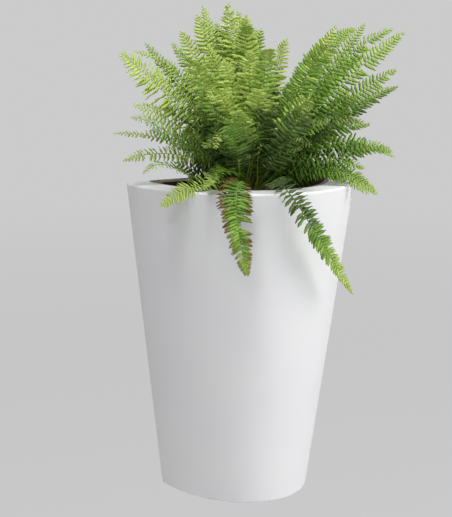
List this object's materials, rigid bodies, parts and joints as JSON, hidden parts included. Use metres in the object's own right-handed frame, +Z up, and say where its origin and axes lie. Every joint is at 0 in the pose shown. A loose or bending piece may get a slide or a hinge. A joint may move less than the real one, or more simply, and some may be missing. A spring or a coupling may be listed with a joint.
{
  "type": "wall planter",
  "caption": "Tall D-shaped white wall planter that tapers down, flat at the back, with a brown inner pot, a drain plug, a cleat rail and a fern.",
  "frame": {"origin": "centre of the rail's back face, on the wall, at the middle of the rail's four screw holes", "axes": "+Z up, +X to the right along the wall, +Y into the wall"},
  "size_m": [0.4961, 0.2894, 0.8026],
  "materials": {
    "white_shell": "white moulded plastic, smooth satin",
    "brown_pot": "dark brown moulded plastic, matte",
    "rail_steel": "galvanised folded steel",
    "screw_steel": "zinc plated steel",
    "insert_brass": "turned brass",
    "black_rubber": "soft black rubber",
    "grey_plug": "light grey moulded plastic",
    "black_grid": "black recycled plastic",
    "filter_cloth": "pressed white filter felt",
    "soil": "moist dark potting soil, crumbly",
    "roots": "matted roots and soil",
    "crown": "brown scaly rootstock",
    "fern_leaf": "fresh green leaf with a soft sheen"
  },
  "bodies": {
    "wall_mount": {"wall_rail": "rail_steel"},
    "shell": {"shell": "white_shell", "hanger_hook": "rail_steel", "hanger_washers": "screw_steel", "hanger_screws": "screw_steel", "threaded_inserts": "insert_brass", "wall_bumpers": "black_rubber"},
    "drain_plug": {"drain_plug": "grey_plug", "drain_seal": "black_rubber"},
    "liner": {"liner": "brown_pot", "drainage_grid": "black_grid", "drainage_fleece": "filter_cloth", "potting_soil": "soil"},
    "fern": {"root_ball": "roots", "fern_crown": "crown", "low_fronds_left": "fern_leaf", "low_fronds_right": "fern_leaf", "middle_fronds_left": "fern_leaf", "middle_fronds_right": "fern_leaf", "upper_fronds_left": "fern_leaf", "upper_fronds_right": "fern_leaf", "top_fronds": "fern_leaf", "hanging_frond_left": "fern_leaf", "hanging_frond_right": "fern_leaf"}
  },
  "joints": [
    {"name": "shell_lift", "type": "slide", "parent": "wall_mount", "child": "shell", "axis": [0, 0, 1], "range_m": [0, 0.018]},
    {"name": "plug_pull", "type": "slide", "parent": "shell", "child": "drain_plug", "axis": [0, 0, -1], "range_m": [0, 0.03]},
    {"name": "liner_lift", "type": "slide", "parent": "shell", "child": "liner", "axis": [0, 0, 1], "range_m": [0, 0.42]},
    {"name": "fern_lift", "type": "slide", "parent": "liner", "child": "fern", "axis": [0, 0, 1], "range_m": [0, 0.14]}
  ]
}
